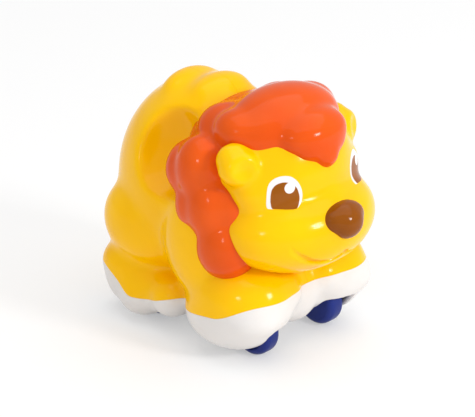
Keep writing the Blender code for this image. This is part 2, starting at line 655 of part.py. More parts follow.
def build_gears():
    """The drive pinion on the rear axle, the idler on its pin, and the barrel gear on its arbor."""
    bore = circle_points((0, 0), AXLE_RADIUS + PRESS_GAP)
    pinion = part("drive_pinion", flat_outline("pinion", [gear_points(PINION_TEETH), bore], PINION_SPAN), brass)
    across(pinion, REAR_AXLE, IDLER_BEARING)

    bore = circle_points((0, 0), PIN_RADIUS + RUNNING_GAP)
    half_tooth = 180 / IDLER_TEETH
    wheel = flat_outline("idler", [gear_points(IDLER_TEETH)], IDLER_SPAN)
    wheel.transform(Matrix.Rotation(math.radians(IDLER_BEARING + 180 + half_tooth - BARREL_BEARING), 4, "Z"))
    idler = part("idler_gear", wheel, white)
    small = flat_outline("idler_pinion", [gear_points(IDLER_PINION_TEETH)], IDLER_PINION_SPAN)
    boolean(idler, "UNION", helper("idler_pinion", small))
    hole = flat_outline("idler_bore", [bore], (-FAR / 8, FAR / 8))
    boolean(idler, "DIFFERENCE", helper("idler_bore", hole))
    across(bake(idler), idler_axis, BARREL_BEARING)

    half_tooth = 180 / BARREL_TEETH
    barrel = part("barrel_gear", flat_outline("barrel", [gear_points(BARREL_TEETH)], BARREL_SPAN), white)
    arbor = flat_outline("arbor", [circle_points((0, 0), ARBOR_RADIUS)], ARBOR_SPAN)
    boolean(barrel, "UNION", helper("arbor", arbor))
    across(bake(barrel), barrel_axis, BARREL_BEARING + 180 + half_tooth)

    ends = [(CASE_SPAN[0] + GAP, *idler_axis[1:]), (CASE_SPAN[1] - GAP, *idler_axis[1:])]
    pin = part("idler_pin", rods("idler_pin", [[Vector(end) - Vector(idler_axis) for end in ends]],
                                 PIN_RADIUS), steel)
    pin.location = Vector(idler_axis) * MM
    shade(pin)


def build_spring():
    """The spiral mainspring round the arbor, as a strip with its coils clear of each other."""
    inner = ARBOR_RADIUS + GAP
    steps = int(SPRING_TURNS * 13)
    middle = []
    for step in range(steps + 1):
        share = step / steps
        angle = 2 * math.pi * SPRING_TURNS * share
        middle.append((inner + SPRING_THICKNESS / 2 + (SPRING_RADIUS - inner) * share, angle))
    sides = []
    for offset in (SPRING_THICKNESS / 2, -SPRING_THICKNESS / 2):
        sides.append([((r + offset) * math.cos(a), (r + offset) * math.sin(a)) for r, a in middle])
    strip = flat_outline("mainspring", [sides[0] + sides[1][::-1]], SPRING_SPAN)
    shade(across(part("mainspring", strip, steel), barrel_axis, 0))


def build_fasteners():
    """Groups of screws: base to body, face to body, motor to chassis, and keeper to chassis."""
    places = [(side * x, y) for x, y in BASE_SCREW_PLACES for side in (-1, 1)]
    repeated("base_screw", screw_mesh(BASE_SCREW_LENGTH),
             [upright(x, y, BASE_SCREW_SEAT - PRESS_GAP) for x, y in places], steel)
    repeated("face_screw", screw_mesh(HEAD_SCREW_LENGTH),
             [forward(x, HEAD_SCREW_SEAT + PRESS_GAP, z) for x, z in HEAD_SCREW_PLACES], steel)
    top = LUG_LEVEL + LUG_THICKNESS + PRESS_GAP
    repeated("motor_screw", screw_mesh(MOTOR_SCREW_LENGTH),
             [downward(x, y, top) for x, y in LUG_PLACES.values()], steel)
    top = KEEPER_LEVEL + KEEPER_SIZE[2] + PRESS_GAP
    repeated("keeper_screw", screw_mesh(KEEPER_SCREW_LENGTH),
             [downward(x, y, top) for x, y in KEEPER_SCREW_PLACES], steel)


for old in list(bpy.data.objects):
    bpy.data.objects.remove(old)
lion = bpy.data.collections.new("wind_up_lion")
cutters = bpy.data.collections.new("forms_and_cutters")
for group in (lion, cutters):
    bpy.context.scene.collection.children.link(group)

yellow = colour_material("yellow_plastic", (0.95, 0.56, 0.0), 0.22)
orange = colour_material("orange_plastic", (0.78, 0.11, 0.02), 0.25)
white = colour_material("white_plastic", (0.87, 0.85, 0.84), 0.3)
brown = colour_material("brown_plastic", (0.2, 0.07, 0.01), 0.2)
blue = colour_material("blue_plastic", (0.02, 0.06, 0.33), 0.35)
rubber = colour_material("black_rubber", (0.02, 0.02, 0.02), 0.8)
grey = colour_material("grey_plastic", (0.3, 0.31, 0.33), 0.4)
brass = colour_material("brass", (0.75, 0.5, 0.2), 0.35, 1.0)
steel = colour_material("steel", (0.6, 0.6, 0.62), 0.35, 1.0)

idler_axis = polar(REAR_AXLE, pitch_radius(PINION_TEETH + IDLER_TEETH) + MESH_SLACK, IDLER_BEARING)
barrel_axis = polar(idler_axis, pitch_radius(IDLER_PINION_TEETH + BARREL_TEETH) + MESH_SLACK, BARREL_BEARING)

body_form = sculpt("body_form", BODY_LUMPS, BODY_BLEND, BODY_TRIANGLES, carve=GRIP_LUMPS)
body_core = sculpt("body_core", BODY_LUMPS, BODY_BLEND, CORE_TRIANGLES, -WALL, GRIP_LUMPS)
body_room = offset_form(body_form, "body_room", SEAT_GAP)
body_middle = offset_form(body_form, "body_middle", -WALL / 2)
face_form = sculpt("face_form", FACE_LUMPS, FACE_BLEND, FACE_TRIANGLES)
face_core = sculpt("face_core", FACE_LUMPS, FACE_BLEND, CORE_TRIANGLES // 2, -WALL)
face_room = offset_form(face_form, "face_room", SEAT_GAP)
face_middle = offset_form(face_form, "face_middle", -WALL / 2)
mane_form = sculpt("mane_form", MANE_LUMPS, MANE_BLEND, MANE_TRIANGLES)
nose_room = helper("nose_room", nose_ellipsoid("nose_room", GAP))

build_shells()
build_face()
build_mane()
build_nose()
build_chassis()
build_wheels()
build_keeper()
build_case()
build_gears()
build_spring()
build_fasteners()
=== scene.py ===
import json
import math

import bmesh
import bpy
from mathutils import Euler, Matrix, Vector
from mathutils.bvhtree import BVHTree


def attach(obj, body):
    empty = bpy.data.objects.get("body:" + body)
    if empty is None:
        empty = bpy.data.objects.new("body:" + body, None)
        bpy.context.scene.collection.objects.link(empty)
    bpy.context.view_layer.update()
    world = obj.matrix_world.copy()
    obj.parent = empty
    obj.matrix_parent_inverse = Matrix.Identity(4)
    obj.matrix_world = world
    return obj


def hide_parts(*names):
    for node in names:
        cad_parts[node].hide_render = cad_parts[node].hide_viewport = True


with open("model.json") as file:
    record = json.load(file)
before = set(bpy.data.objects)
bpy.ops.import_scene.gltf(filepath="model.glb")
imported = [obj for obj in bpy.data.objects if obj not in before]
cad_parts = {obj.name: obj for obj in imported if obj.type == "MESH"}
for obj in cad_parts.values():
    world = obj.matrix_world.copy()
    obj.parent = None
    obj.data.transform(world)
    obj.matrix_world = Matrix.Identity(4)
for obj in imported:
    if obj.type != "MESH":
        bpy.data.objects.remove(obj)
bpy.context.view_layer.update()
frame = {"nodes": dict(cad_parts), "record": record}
print("frame loaded with", len(frame["nodes"]), "nodes")

mm = 0.001  # lengths below are millimetres unless a comment says otherwise
photo = {"width": 475, "height": 417}  # pixels


def meshFrom(name, form):
    mesh = bpy.data.meshes.new(name)
    form.to_mesh(mesh)
    form.free()
    return mesh


def newPiece(name, data):
    piece = bpy.data.objects.new(name, data)
    bpy.context.scene.collection.objects.link(piece)
    return piece


def applyAll(piece):  # what the modifiers give becomes the mesh
    graph = bpy.context.evaluated_depsgraph_get()
    mesh = bpy.data.meshes.new_from_object(piece.evaluated_get(graph))
    mesh.name = piece.name
    piece.modifiers.clear()
    piece.data = mesh
    return piece


def discard(*pieces):
    for piece in pieces:
        bpy.data.objects.remove(piece)


def lumpForm(name, lumps, grow=0.0, rings=32):  # overlapping ellipsoids, each off-centre one with a twin
    ball = bmesh.new()
    bmesh.ops.create_uvsphere(ball, u_segments=2 * rings, v_segments=rings, radius=1)
    ballMesh = meshFrom("ball", ball)
    form = bmesh.new()
    for centre, radii, turn in lumps.values():
        for side in (1, -1) if centre[0] else (1,):
            place = Matrix.Translation((side * centre[0] * mm, centre[1] * mm, centre[2] * mm))
            place @= Euler((0, 0, side * math.radians(turn))).to_matrix().to_4x4()
            place @= Matrix.Diagonal([(radius + grow) * mm for radius in radii] + [1])
            known = len(form.verts)
            form.from_mesh(ballMesh)
            bmesh.ops.transform(form, matrix=place, verts=form.verts[known:])
    bpy.data.meshes.remove(ballMesh)
    return newPiece(name, meshFrom(name, form))


smoothing = {"factor": 0.5, "passes": 8}  # passes for a blend of 1 at a voxel of 1 mm


def soften(piece, voxel, blend):  # an even skin, then creases rounded over about the root of blend
    skin = piece.modifiers.new("skin", "REMESH")
    skin.mode = "VOXEL"
    skin.voxel_size = voxel * mm
    smooth = piece.modifiers.new("soften", "SMOOTH")
    smooth.factor = smoothing["factor"]
    smooth.iterations = max(1, round(smoothing["passes"] * blend / voxel ** 2))
    return applyAll(piece)


def carve(piece, operation, tool):
    knife = piece.modifiers.new("knife", "BOOLEAN")
    knife.operation = operation
    knife.solver = "MANIFOLD"
    knife.object = tool
    return applyAll(piece)


def copyOf(piece, name):
    return newPiece(name, piece.data.copy())


def roundShade(piece, degrees=40):
    piece.data.shade_smooth()
    piece.data.set_sharp_from_angle(angle=math.radians(degrees))


def rodForm(name, start, end, radius, sides=32):
    start, end = Vector(start) * mm, Vector(end) * mm
    turn = (end - start).to_track_quat("Z", "Y").to_matrix().to_4x4()
    form = bmesh.new()
    bmesh.ops.create_cone(form, cap_ends=True, segments=sides, radius1=radius * mm, radius2=radius * mm,
                          depth=(end - start).length, matrix=Matrix.Translation((start + end) / 2) @ turn)
    return newPiece(name, meshFrom(name, form))


def boxForm(name, low, high, corner=0.0, cornerSteps=6):
    form = bmesh.new()
    middle = [(a + b) / 2 * mm for a, b in zip(low, high)]
    size = [(b - a) * mm for a, b in zip(low, high)]
    bmesh.ops.create_cube(form, size=1, matrix=Matrix.Translation(middle) @ Matrix.Diagonal((*size, 1)))
    if corner:
        bmesh.ops.bevel(form, geom=form.edges[:], offset=corner * mm, offset_type="OFFSET", affect="EDGES",
                        segments=cornerSteps, profile=0.5, material=-1)
    return newPiece(name, meshFrom(name, form))


def dress(piece, material, body, slot, *nodes):  # finish, carrier, record slot (not used), nodes it stands for
    piece.data.materials.clear()
    piece.data.materials.append(material)
    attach(piece, body)
    if nodes:
        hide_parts(*nodes)


plastic = {
    "yellow": {"deep": (0.95, 0.5, 0.0), "pale": (1.0, 0.56, 0.0), "rough": (0.09, 0.16)},
    "orange": {"deep": (0.71, 0.075, 0.004), "pale": (0.78, 0.1, 0.007), "rough": (0.09, 0.16)},
    "white": {"deep": (0.73, 0.705, 0.685), "pale": (0.79, 0.765, 0.745), "rough": (0.2, 0.3)},
    "brown": {"deep": (0.23, 0.06, 0.002), "pale": (0.29, 0.08, 0.003), "rough": (0.1, 0.16)},
    "blue": {"deep": (0.012, 0.022, 0.16), "pale": (0.02, 0.038, 0.24), "rough": (0.3, 0.42)},
    "grey": {"deep": (0.24, 0.25, 0.27), "pale": (0.31, 0.32, 0.34), "rough": (0.4, 0.55)},
    "eyeWhite": {"deep": (0.80, 0.77, 0.76), "pale": (0.86, 0.83, 0.82), "rough": (0.14, 0.2)},
    "irisBrown": {"deep": (0.27, 0.076, 0.003), "pale": (0.32, 0.093, 0.005), "rough": (0.12, 0.18)},
}
grain = {  # noise on object coordinates, in cycles per metre
    "flow": {"scale": 45, "detail": 2, "ramp": (0.3, 0.7)},
    "sheen": {"scale": 160, "detail": 3},
    "peel": {"scale": 900, "detail": 1, "strength": 0.04, "distance": 0.05 * mm},
    "draw": {"scale": 1, "detail": 4, "ramp": (0.0, 1.0)},  # stretched by each metal's own scale
    "plasticSpecular": 0.16,
}


def newFinish(name):
    material = bpy.data.materials.new(name)
    material.use_nodes = True
    nodes, links = material.node_tree.nodes, material.node_tree.links
    return material, nodes, links.new, nodes["Principled BSDF"].inputs


def noiseFrom(nodes, link, place, look):
    noise = nodes.new("ShaderNodeTexNoise")
    noise.inputs["Scale"].default_value = look["scale"]
    noise.inputs["Detail"].default_value = look["detail"]
    link(place, noise.inputs["Vector"])
    return noise.outputs["Fac"]


def tintBy(nodes, link, noise, ramp, look, target):
    tint = nodes.new("ShaderNodeValToRGB")
    for stop, position, colour in zip(tint.color_ramp.elements, ramp, (look["deep"], look["pale"])):
        stop.position = position
        stop.color = (*colour, 1)
    link(noise, tint.inputs["Fac"])
    link(tint.outputs["Color"], target)


def glossBy(nodes, link, noise, look, target):
    gloss = nodes.new("ShaderNodeMapRange")
    gloss.inputs["To Min"].default_value, gloss.inputs["To Max"].default_value = look["rough"]
    link(noise, gloss.inputs["Value"])
    link(gloss.outputs["Result"], target)


def mouldedPlastic(name, look):  # flow marks in the colour, uneven gloss and a faint orange-peel skin
    material, nodes, link, shader = newFinish(name)
    shader["Specular IOR Level"].default_value = grain["plasticSpecular"]
    place = nodes.new("ShaderNodeTexCoord").outputs["Object"]
    flow = noiseFrom(nodes, link, place, grain["flow"])
    tintBy(nodes, link, flow, grain["flow"]["ramp"], look, shader["Base Color"])
    glossBy(nodes, link, noiseFrom(nodes, link, place, grain["sheen"]), look, shader["Roughness"])
    bump = nodes.new("ShaderNodeBump")
    bump.inputs["Strength"].default_value = grain["peel"]["strength"]
    bump.inputs["Distance"].default_value = grain["peel"]["distance"]
    link(noiseFrom(nodes, link, place, grain["peel"]), bump.inputs["Height"])
    link(bump.outputs["Normal"], shader["Normal"])
    return material


metal = {
    "steel": {"deep": (0.42, 0.42, 0.44), "pale": (0.62, 0.62, 0.64), "rough": (0.24, 0.4),
              "stretch": (40, 600, 600)},
    "brass": {"deep": (0.6, 0.36, 0.12), "pale": (0.78, 0.52, 0.2), "rough": (0.22, 0.36),
              "stretch": (300, 300, 300)},
}


def drawnMetal(name, look):  # fine draw marks along the axles
    material, nodes, link, shader = newFinish(name)
    shader["Metallic"].default_value = 1.0
    stretch = nodes.new("ShaderNodeMapping")
    stretch.inputs["Scale"].default_value = look["stretch"]
    link(nodes.new("ShaderNodeTexCoord").outputs["Object"], stretch.inputs["Vector"])
    marks = noiseFrom(nodes, link, stretch.outputs["Vector"], grain["draw"])
    tintBy(nodes, link, marks, grain["draw"]["ramp"], look, shader["Base Color"])
    glossBy(nodes, link, marks, look, shader["Roughness"])
    return material


rubberLook = {"deep": (0.012, 0.012, 0.013), "pale": (0.03, 0.03, 0.031), "rough": (0.7, 0.9)}

finishes = {name: mouldedPlastic(name, look) for name, look in plastic.items()}
finishes.update({name: drawnMetal(name, look) for name, look in metal.items()})
finishes["rubber"] = mouldedPlastic("rubber", rubberLook)
print("finishes:", ", ".join(finishes))

bodyShape = {
    "lumps": {  # centre, radii and turn about Z in degrees, on the lion's right side or in the middle
        "torso": ((0, 18, 53), (32, 36.5, 40.5), 0),
        "haunch": ((-18.5, 31, 38), (15.5, 20, 18), 0),
        "hindFoot": ((-19, 31, 13.5), (14, 21, 11), 0),
        "heel": ((-19, 38, 19.5), (14, 13.5, 10), 0),
        "rearToe": ((-24.5, 29, 10), (10, 10, 8.7), 0),
        "footSide": ((-22, 36.5, 12.5), (10.5, 11, 9.5), 0),
        "frontToe": ((-24, 14, 13.5), (9.5, 9, 8.5), 0),
        "shoulder": ((-21, -3, 42), (16, 20, 26), 0),
        "frontLeg": ((-20, -17, 22), (18, 21, 17), 0),
        "frontPaw": ((-22, -15, 16.4), (16.5, 20, 14), 0),
        "pawFront": ((-24.5, -22, 19.5), (13, 16.5, 10), 0),
        "chest": ((0, -8, 38), (26, 22, 26), 0),
        "apron": ((0, -12, 21), (20, 20.5, 13.5), 0),
        "pawInner": ((-11.5, -21.5, 24), (10.5, 15, 10), 0),
        "keel": ((0, -20.5, 15.5), (12, 11.5, 9), 0),  # carries the front axle
        "belly": ((0, 10, 14), (22, 34, 11), 0),
        "rearBackBump": ((0, 27, 87), (14, 8.5, 7.5), 0),
        "frontBackBump": ((0, 13, 88.6), (14, 9, 7.2), 0),
    },
    "grip": {"fingerGrip": ((-36, 13, 76.5), (21.5, 17, 21.5), 0)},
    "gripRings": 48, "voxel": 0.75, "blend": 3.5, "rimBlend": 3.0,
    "wall": 2.2, "coreVoxel": 1.4,
    "seam": 0.06,  # gap along the middle and along the parting
    "sharp": 50,  # degrees between faces that keep a crisp edge
}
parting = {  # height, then for each wave its rise, where it starts and its run along Y
    "base": 16,
    "waves": {
        "chest": (3.5, 5, -25), "paw": (6.5, -18, -18), "hindFoot": (-4.2, 6, 18), "heel": (8.3, 27, 17.5),
    },
    "reach": 140, "steps": 140,
}


def partingHeight(y):
    height = parting["base"]
    for rise, start, run in parting["waves"].values():
        share = min(1.0, max(0.0, (y - start) / run))
        height += rise * share * share * (3 - 2 * share)
    return height


def partingBlock(name, xLow, xHigh, offset, farLevel):  # all that is above or below the wavy face
    reach = parting["reach"]
    form = bmesh.new()
    place = Matrix.Translation(((xLow + xHigh) / 2 * mm, 0, 0))
    place @= Matrix.Diagonal(((xHigh - xLow) * mm, reach * mm, 1, 1))
    bmesh.ops.create_grid(form, x_segments=2, y_segments=parting["steps"], size=0.5, matrix=place)
    for vertex in form.verts:
        vertex.co.z = (partingHeight(vertex.co.y / mm) + offset) * mm
    moved = bmesh.ops.extrude_face_region(form, geom=form.faces[:])["geom"]
    for vertex in (item for item in moved if isinstance(item, bmesh.types.BMVert)):
        vertex.co.z = farLevel * mm
    bmesh.ops.recalc_face_normals(form, faces=form.faces[:])
    return newPiece(name, meshFrom(name, form))


def bodySolid(name, grow, voxel):
    form = soften(lumpForm(name, bodyShape["lumps"], grow), voxel, bodyShape["blend"])
    grip = lumpForm("gripKnife", bodyShape["grip"], -grow, bodyShape["gripRings"])
    carve(form, "DIFFERENCE", grip)
    discard(grip)
    return soften(form, voxel, bodyShape["rimBlend"])


bodyForm = bodySolid("bodyForm", 0.0, bodyShape["voxel"])
bodyCore = bodySolid("bodyCore", -bodyShape["wall"], bodyShape["coreVoxel"])
print("body form:", len(bodyForm.data.polygons), "faces")


def buildShells():
    half = bodyShape["seam"] / 2
    far = parting["reach"]
    above = partingBlock("abovePlane", -far, -half, half, far)
    shell = copyOf(bodyForm, "bodyShellRight")
    carve(shell, "DIFFERENCE", bodyCore)
    carve(shell, "INTERSECT", above)
    discard(above)
    roundShade(shell, bodyShape["sharp"])
    other = bmesh.new()
    other.from_mesh(shell.data)
    bmesh.ops.scale(other, vec=(-1, 1, 1), verts=other.verts[:])
    bmesh.ops.reverse_faces(other, faces=other.faces[:])
    twin = newPiece("bodyShellLeft", meshFrom("bodyShellLeft", other))
    roundShade(twin, bodyShape["sharp"])
    dress(shell, finishes["yellow"], "body", "yellow_plastic", "body_shell_right")
    dress(twin, finishes["yellow"], "body", "yellow_plastic", "body_shell_left")
    print("body shells:", 2 * len(shell.data.polygons), "faces")


buildShells()

faceShape = {
    "lumps": {
        "cranium": ((0, -15, 68), (30, 27, 27), 0),
        "brow": ((0, -24.2, 66.5), (31, 16.3, 13.5), 0),
        "muzzle": ((0, -25, 50), (33.5, 26.3, 18.7), 0),
        "snout": ((0, -33, 54), (16, 17, 13), 0),
    },
    "voxel": 0.6, "blend": 8.0,
    "ears": {
        "ear": ((-27.5, -22.6, 76.3), (8, 6.4, 7), -30),
        "earTop": ((-27, -19.8, 78.6), (7, 5, 6.4), -30),
    },
    "earBlend": 1.2,
    "earDish": {"dish": ((-33.0, -33.0, 78.2), (8, 8, 8.5), -30)},
    "mouth": ((-23.6, 51.8), (-22.4, 48.8), (-20, 46.2), (-16.7, 44), (-12.5, 42), (-8, 40.7), (-4.5, 40.6),
              (-1.8, 41.6), (0, 43)),  # x and z, a cusp under the nose
    "lip": {"radius": 1.2, "depth": 1.9, "steps": 60, "sink": 2.2, "before": -90, "rings": 12, "voxel": 0.3,
            "blend": 0.05},  # sink is how fast full depth is reached, before is where the rays start
    "mouthVoxel": 0.5, "mouthBlend": 0.2,
}


def smoothLine(points, steps, closed=False):  # an even curve through the points
    spans = len(points) if closed else len(points) - 1
    line = []
    for step in range(steps):
        at = step * spans / steps if closed else step * spans / (steps - 1)
        index = min(int(at), spans - 1)
        share = at - index
        around = [index + shift for shift in (-1, 0, 1, 2)]
        if not closed:
            around = [min(max(item, 0), len(points) - 1) for item in around]
        a, b, c, d = (Vector(points[item % len(points)]) for item in around)
        bend = 2 * a - 5 * b + 4 * c - d
        swing = 3 * b - a - 3 * c + d
        line.append((2 * b + (c - a) * share + bend * share ** 2 + swing * share ** 3) / 2)
    return line


def surfaceOf(piece):
    form = bmesh.new()
    form.from_mesh(piece.data)
    tree = BVHTree.FromBMesh(form)
    form.free()
    return tree


def mouthTool(name, tree, look):  # a row of balls along the mouth, sunk deeper towards the middle
    lumps = {}
    line = smoothLine(faceShape["mouth"], look["steps"])
    for step, (x, z) in enumerate(line):
        start = Vector((x, look["before"], z)) * mm
        hit, normal, _, _ = tree.ray_cast(start, Vector((0, 1, 0)))
        share = min(1.0, look["sink"] * step / len(line))
        lift = look["radius"] - look["depth"] * share
        centre = hit / mm + normal * lift
        lumps[step] = (tuple(centre), (look["radius"],) * 3, 0)
    return soften(lumpForm(name, lumps, 0.0, look["rings"]), look["voxel"], look["blend"])


def buildFace():
    face = soften(lumpForm("faceShell", faceShape["lumps"]), faceShape["voxel"], faceShape["blend"])
    ears = lumpForm("ears", faceShape["ears"])
    carve(face, "UNION", ears)
    dish = lumpForm("dish", faceShape["earDish"])
    carve(face, "DIFFERENCE", dish)
    discard(ears, dish)
    soften(face, faceShape["voxel"], faceShape["earBlend"])
    tool = mouthTool("lip", surfaceOf(face), faceShape["lip"])
    carve(face, "DIFFERENCE", tool)
    discard(tool)
    soften(face, faceShape["mouthVoxel"], faceShape["mouthBlend"])
    roundShade(face)
    dress(face, finishes["yellow"], "body", "yellow_plastic", "face_shell")
    print("face:", len(face.data.polygons), "faces")
    return face


faceShell = buildFace()

eyeArt = {  # one drawing for both eyes, in millimetres across and up from each eye's middle
    "middles": {"Right": (-19, -37, 68), "Left": (20.2, -37, 66.8)},
    "facing": (-0.385, -0.893, 0.235), "depth": 0.4, "rings": 12, "steps": 72, "standOff": 15,
    "eyeWhite": {
        "proud": 0.06, "slot": "white_plastic",
        "outline": ((-6.9, -1.3), (-6.6, 1.2), (-5.9, 3.4), (-4.5, 5.1), (-2.4, 6.1), (0, 6.35), (2.4, 5.9),
                    (4.2, 4.6), (5.6, 2.8), (6.5, 0.5), (6.7, -1.6), (6.1, -3.7), (4.9, -5.1), (3.4, -5.9),
                    (0.5, -5.75), (-3, -5.2), (-5.6, -4.9), (-6.6, -4.5), (-6.95, -3.2)),
    },
    "irisBrown": {
        "proud": 0.1, "slot": "brown_plastic",
        "outline": ((-5.5, -1.4), (-5.25, 0.5), (-4.6, 2.2), (-3.2, 3.45), (-1.2, 4.05), (0.8, 3.95),
                    (2.9, 3.0), (4.5, 1.5), (5.25, -0.4), (5.5, -2.2), (5.1, -3.8), (4.3, -5.3),
                    (3.2, -5.95), (0.5, -5.8), (-2.4, -5.35), (-4.5, -5.0), (-5.1, -4.6), (-5.4, -3.2)),
    },
    "eyeGlint": {
        "proud": 0.14, "slot": "white_plastic",
        "outline": ((-0.1, 1.7), (0.5, 3.1), (1.9, 3.75), (3.4, 3.3), (3.95, 1.7), (3.3, 0.3), (1.9, -0.25),
                    (0.5, 0.3)),
    },
}


def inkPad(name, tree, look, middle, facing):  # a thin pad that follows the face below it
    across = Vector((-facing.y, facing.x, 0)).normalized()
    up = facing.cross(across)
    line = smoothLine(look["outline"], eyeArt["steps"], True)
    hub = sum(line, Vector((0, 0))) / len(line)
    form = bmesh.new()

    def onFace(point):
        start = middle + across * point.x + up * point.y + facing * eyeArt["standOff"]
        hit = tree.ray_cast(start * mm, -facing)[0]
        return form.verts.new(hit - facing * eyeArt["depth"] * mm)

    centre = onFace(hub)
    rows = [[onFace(hub + (point - hub) * ring / eyeArt["rings"]) for point in line]
            for ring in range(1, eyeArt["rings"] + 1)]
    for here in range(len(line)):
        there = (here + 1) % len(line)
        form.faces.new((centre, rows[0][here], rows[0][there]))
        for inner, outer in zip(rows, rows[1:]):
            form.faces.new((inner[here], outer[here], outer[there], inner[there]))
    raised = bmesh.ops.extrude_face_region(form, geom=form.faces[:])["geom"]
    tops = [item for item in raised if isinstance(item, bmesh.types.BMVert)]
    bmesh.ops.translate(form, vec=facing * (eyeArt["depth"] + look["proud"]) * mm, verts=tops)
    bmesh.ops.recalc_face_normals(form, faces=form.faces[:])
    return newPiece(name, meshFrom(name, form))


def buildEyes():
    tree = surfaceOf(faceShell)
    for side, place in eyeArt["middles"].items():
        middle = Vector(place)
        facing = Vector(eyeArt["facing"]).normalized()
        facing.x = math.copysign(facing.x, middle.x)
        for kind in ("eyeWhite", "irisBrown", "eyeGlint"):
            look = eyeArt[kind]
            pad = inkPad(kind + side, tree, look, middle, facing)
            roundShade(pad)
            dress(pad, finishes["eyeWhite" if kind == "eyeGlint" else kind], "body", look["slot"])
    print("eyes printed")


buildEyes()

maneShape = {
    "lumps": {
        "cap": ((0, -10, 73), (29, 28, 20), 0),
        "crown": ((0, -18, 84.5), (25.5, 17, 14.2), 0),
        "crownSide": ((-19, -14.6, 86.3), (9, 10, 7.8), 0),
        "forelock": ((0, -31, 85), (16, 12, 9), 0),
        "forelockSide": ((-5, -36.4, 81.6), (7.5, 5.6, 5.4), -14),
        "forelockTip": ((0, -38.4, 78.7), (5.8, 5.4, 6.4), 0),
        "backLobe": ((-14, -4.5, 82.5), (11.5, 11.5, 10), 0),
        "templeLobe": ((-28, -5, 71.5), (10, 10, 13), 0),
        "templeRim": ((-25, 3, 69), (11, 8.8, 11), 0),
        "cheekLobe": ((-29, -10.5, 58), (9.5, 10, 12.5), 0),
        "cheekRim": ((-27, -3, 57), (10, 9, 11), 0),
        "whiskerLobe": ((-26, -15, 59), (8.5, 10, 11), 0),
        "collarLobe": ((-27, -16, 44), (11, 12, 13), 0),
    },
    "voxel": 0.6, "blend": 4.0,
}


def buildMane():
    mane = soften(lumpForm("mane", maneShape["lumps"]), maneShape["voxel"], maneShape["blend"])
    roundShade(mane)
    dress(mane, finishes["orange"], "body", "orange_plastic", "mane")
    print("mane:", len(mane.data.polygons), "faces")


buildMane()

noseShape = {
    "lumps": {
        "bridge": ((0, -47.2, 56.1), (10.2, 6.6, 6.0), 0),
        "tip": ((0, -49.8, 54.8), (7.0, 5.4, 6.3), 0),
    },
    "voxel": 0.3, "blend": 2.5,
}


def buildNose():
    nose = soften(lumpForm("nose", noseShape["lumps"]), noseShape["voxel"], noseShape["blend"])
    roundShade(nose)
    dress(nose, finishes["brown"], "body", "brown_plastic", "nose")
    print("nose:", len(nose.data.polygons), "faces")


buildNose()

wheel = {
    "radius": 9, "width": 8, "edge": 2.6, "edgeSteps": 8, "halfTrack": 17.8, "clearance": 1.0, "bore": 1.3,
    "hub": 3.4, "hubSlope": 0.5, "dish": 6.2, "dishSlope": 0.7, "dishDepth": 0.9, "steps": 72, "sharp": 35,
    "axles": {"front": (-22, 9), "rear": (28, 9)}, "weld": 0.001,
}
tyre = {
    "width": 3.0, "depth": 0.7, "proud": 0.3, "gap": 0.05,
    "shoulder": (0.35, 0.5), "groove": (0.25, 0.1),  # groove's half width at its top and its floor
    "grooveDepth": 0.25,
}


def wheelProfile(radius, groove):
    half = wheel["width"] / 2
    edge = wheel["edge"]
    hub, dish, dishFloor = wheel["hub"], wheel["dish"], half - wheel["dishDepth"]
    points = [(wheel["bore"], half), (hub, half), (hub + wheel["hubSlope"], dishFloor)]
    points += [(dish, dishFloor), (dish + wheel["dishSlope"], half)]
    corner = [math.radians(90 * step / wheel["edgeSteps"]) for step in range(wheel["edgeSteps"] + 1)]
    points += [(radius - edge + edge * math.sin(a), half - edge + edge * math.cos(a)) for a in corner]
    if groove:
        width = tyre["width"] / 2
        floor = radius - tyre["depth"]
        points += [(radius, width), (floor, width), (floor, -width), (radius, -width)]
    points += [(radius - edge + edge * math.cos(a), -half + edge - edge * math.sin(a)) for a in corner]
    return points + [(wheel["bore"], -half)]


def tyreProfile():  # a band with rounded shoulders and one groove round its middle
    radius = wheel["radius"]
    half = tyre["width"] / 2 - tyre["gap"]
    inner = radius - tyre["proud"] - tyre["depth"] + tyre["gap"]
    drop, run = tyre["shoulder"]
    top, floor = tyre["groove"]
    side = [(inner, half), (radius - drop, half), (radius, half - run), (radius, top),
            (radius - tyre["grooveDepth"], floor)]
    return side + [(height, -across) for height, across in reversed(side)]


def spunRing(profile):  # a closed profile of radius and distance across, spun about the X axis
    form = bmesh.new()
    points = [form.verts.new((across * mm, 0, radius * mm)) for radius, across in profile]
    edges = [form.edges.new((a, b)) for a, b in zip(points, points[1:] + points[:1])]
    bmesh.ops.spin(form, geom=points + edges, cent=(0, 0, 0), axis=(1, 0, 0), dvec=(0, 0, 0),
                   angle=math.tau, steps=wheel["steps"], use_merge=True)
    bmesh.ops.remove_doubles(form, verts=form.verts[:], dist=wheel["weld"] * mm)
    bmesh.ops.recalc_face_normals(form, faces=form.faces[:])
    return form


def buildWheels():
    flip = Matrix.Rotation(math.pi, 3, "Z")
    for end, (y, z) in wheel["axles"].items():
        driven = end == "rear"
        rim = wheel["radius"] - (tyre["proud"] if driven else 0)
        for side, sign in (("Right", -1), ("Left", 1)):
            rings = {"Wheel": (wheelProfile(rim, driven), "blue", "blue_plastic")}
            if driven:
                rings["Tyre"] = (tyreProfile(), "rubber", "black_rubber")
            for kind, (profile, finish, slot) in rings.items():
                form = spunRing(profile)
                if sign < 0:
                    bmesh.ops.rotate(form, cent=(0, 0, 0), matrix=flip, verts=form.verts[:])
                place = Vector((sign * wheel["halfTrack"], y, z)) * mm
                bmesh.ops.translate(form, vec=place, verts=form.verts[:])
                piece = newPiece(end + kind + side, meshFrom(end + kind + side, form))
                roundShade(piece, wheel["sharp"])
                node = f"{end}_{kind.lower()}_{side.lower()}"
                dress(piece, finishes[finish], end + "_wheelset", slot, node)
    print("wheels and tyres spun")


buildWheels()

